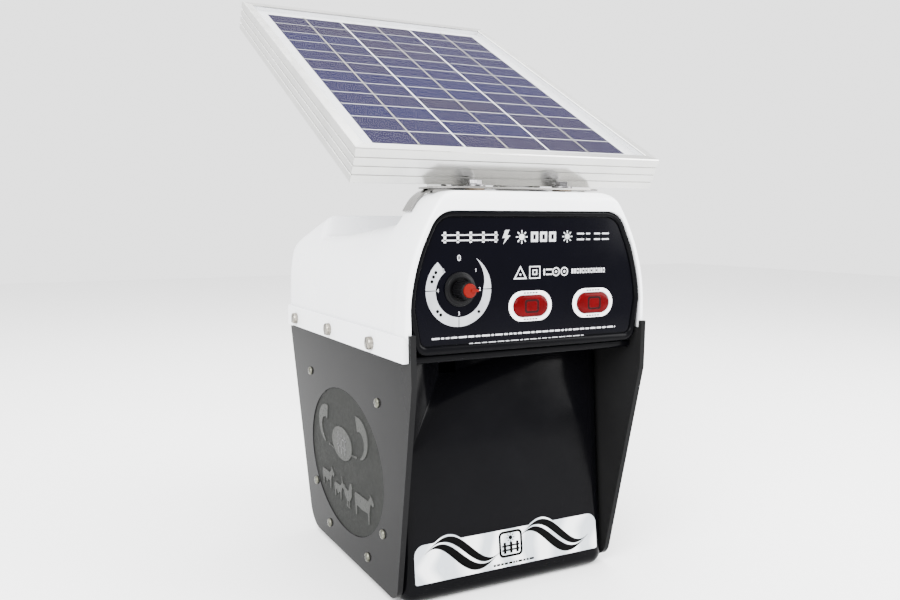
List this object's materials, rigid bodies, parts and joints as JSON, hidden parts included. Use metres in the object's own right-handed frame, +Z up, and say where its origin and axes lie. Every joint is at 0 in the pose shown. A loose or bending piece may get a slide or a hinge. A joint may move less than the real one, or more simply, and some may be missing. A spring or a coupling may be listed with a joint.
{
  "type": "solar fence energizer",
  "caption": "Upright battery box with a hooded lid, sloping control face and a tilting solar panel, feeding pulses to an electric fence.",
  "frame": {"origin": "centre of the flat underside of the base housing", "axes": "+Z up, -Y toward the control face, +X toward the right as seen from the control face"},
  "size_m": [0.282, 0.3637, 0.5319],
  "materials": {
    "black_gloss": "high gloss, moulded",
    "plate_black": "gloss sheet with a matte moulded medallion",
    "white_gloss": "high gloss, moulded",
    "overlay": "printed film",
    "label": "printed film",
    "white_bezel": "smooth",
    "red_lens": "translucent gloss",
    "led": "clear",
    "dark_plastic": "fine matte",
    "grey_plastic": "matte",
    "red_plastic": "satin",
    "green_plastic": "satin",
    "orange_plastic": "satin",
    "steel": "zinc plated",
    "stainless": "brushed",
    "aluminium": "anodised",
    "rubber": "matte",
    "spacer_rubber": "matte",
    "board": "satin",
    "winding": "taped winding",
    "core_steel": "laminated",
    "capacitor": "sleeved",
    "battery_case": "fine texture",
    "glass": "low-iron tempered",
    "cells": "polycrystalline"
  },
  "bodies": {
    "housing": {"base_housing": "black_gloss", "side_plate_left": "plate_black", "side_plate_right": "plate_black", "side_plate_screws": "steel", "front_label": "label", "battery_pad": "rubber", "battery": "battery_case", "battery_terminals": "steel", "battery_clamp": "stainless", "inner_screws": "steel", "battery_lead_red": "red_plastic", "battery_lead_black": "dark_plastic", "rim_gasket": "rubber", "electronics_tray": "grey_plastic", "transformer_core": "core_steel", "transformer_coil": "winding", "storage_capacitor": "capacitor", "smoothing_capacitors": "dark_plastic", "regulator_heatsink": "aluminium", "lid_hood": "white_gloss", "lid_screws": "steel", "control_fascia": "black_gloss", "fascia_screws": "steel", "fascia_overlay": "overlay", "fence_pilot_bezel": "white_bezel", "charge_pilot_bezel": "white_bezel", "fence_pilot_lens": "red_lens", "charge_pilot_lens": "red_lens", "pilot_leds": "led", "control_board": "board", "board_screws": "steel", "potentiometer_body": "steel", "potentiometer_nut": "dark_plastic", "fence_terminal_base": "red_plastic", "fence_stud": "steel", "earth_terminal_base": "green_plastic", "earth_stud": "steel", "panel_lead_gland": "dark_plastic", "hood_bracket": "stainless", "bracket_spacers": "spacer_rubber", "bracket_bolts": "steel", "bracket_nuts": "steel", "hinge_pins": "steel"},
    "output_knob": {"control_knob": "dark_plastic", "knob_pointer_cap": "orange_plastic", "potentiometer_shaft": "steel"},
    "fence_clamp": {"fence_clamp_washer": "steel"},
    "fence_nut": {"fence_terminal_knob": "red_plastic"},
    "earth_clamp": {"earth_clamp_washer": "steel"},
    "earth_nut": {"earth_terminal_knob": "green_plastic"},
    "solar_panel": {"tilt_rail_left": "aluminium", "tilt_rail_right": "aluminium", "tilt_clamp_screws": "steel", "panel_frame_front": "aluminium", "panel_frame_rear": "aluminium", "panel_frame_left": "aluminium", "panel_frame_right": "aluminium", "panel_glass": "glass", "solar_cells": "cells", "panel_junction_box": "dark_plastic"}
  },
  "joints": [
    {"name": "output_knob_turn", "type": "hinge", "parent": "housing", "child": "output_knob", "pos_m": [-0.0643, -0.14, 0.256], "axis": [0, 1, 0], "range_deg": [-90, 225]},
    {"name": "panel_tilt", "type": "hinge", "parent": "housing", "child": "solar_panel", "pos_m": [0, -0.078, 0.3375], "axis": [1, 0, 0], "range_deg": [-28.5, 1]},
    {"name": "fence_clamp_slide", "type": "slide", "parent": "housing", "child": "fence_clamp", "axis": [0, 1, 0], "range_m": [0, 0.003]},
    {"name": "fence_nut_turn", "type": "hinge", "parent": "fence_clamp", "child": "fence_nut", "pos_m": [0.042, 0.175, 0.242], "axis": [0, 1, 0], "range_deg": [0, 1080]},
    {"name": "earth_clamp_slide", "type": "slide", "parent": "housing", "child": "earth_clamp", "axis": [0, 1, 0], "range_m": [0, 0.003]},
    {"name": "earth_nut_turn", "type": "hinge", "parent": "earth_clamp", "child": "earth_nut", "pos_m": [-0.042, 0.175, 0.242], "axis": [0, 1, 0], "range_deg": [0, 1080]}
  ],
  "couplings": [
    {"joint": "fence_nut_turn", "follows": "fence_clamp_slide", "rad_per_m": 6283.2},
    {"joint": "earth_nut_turn", "follows": "earth_clamp_slide", "rad_per_m": 6283.2}
  ]
}
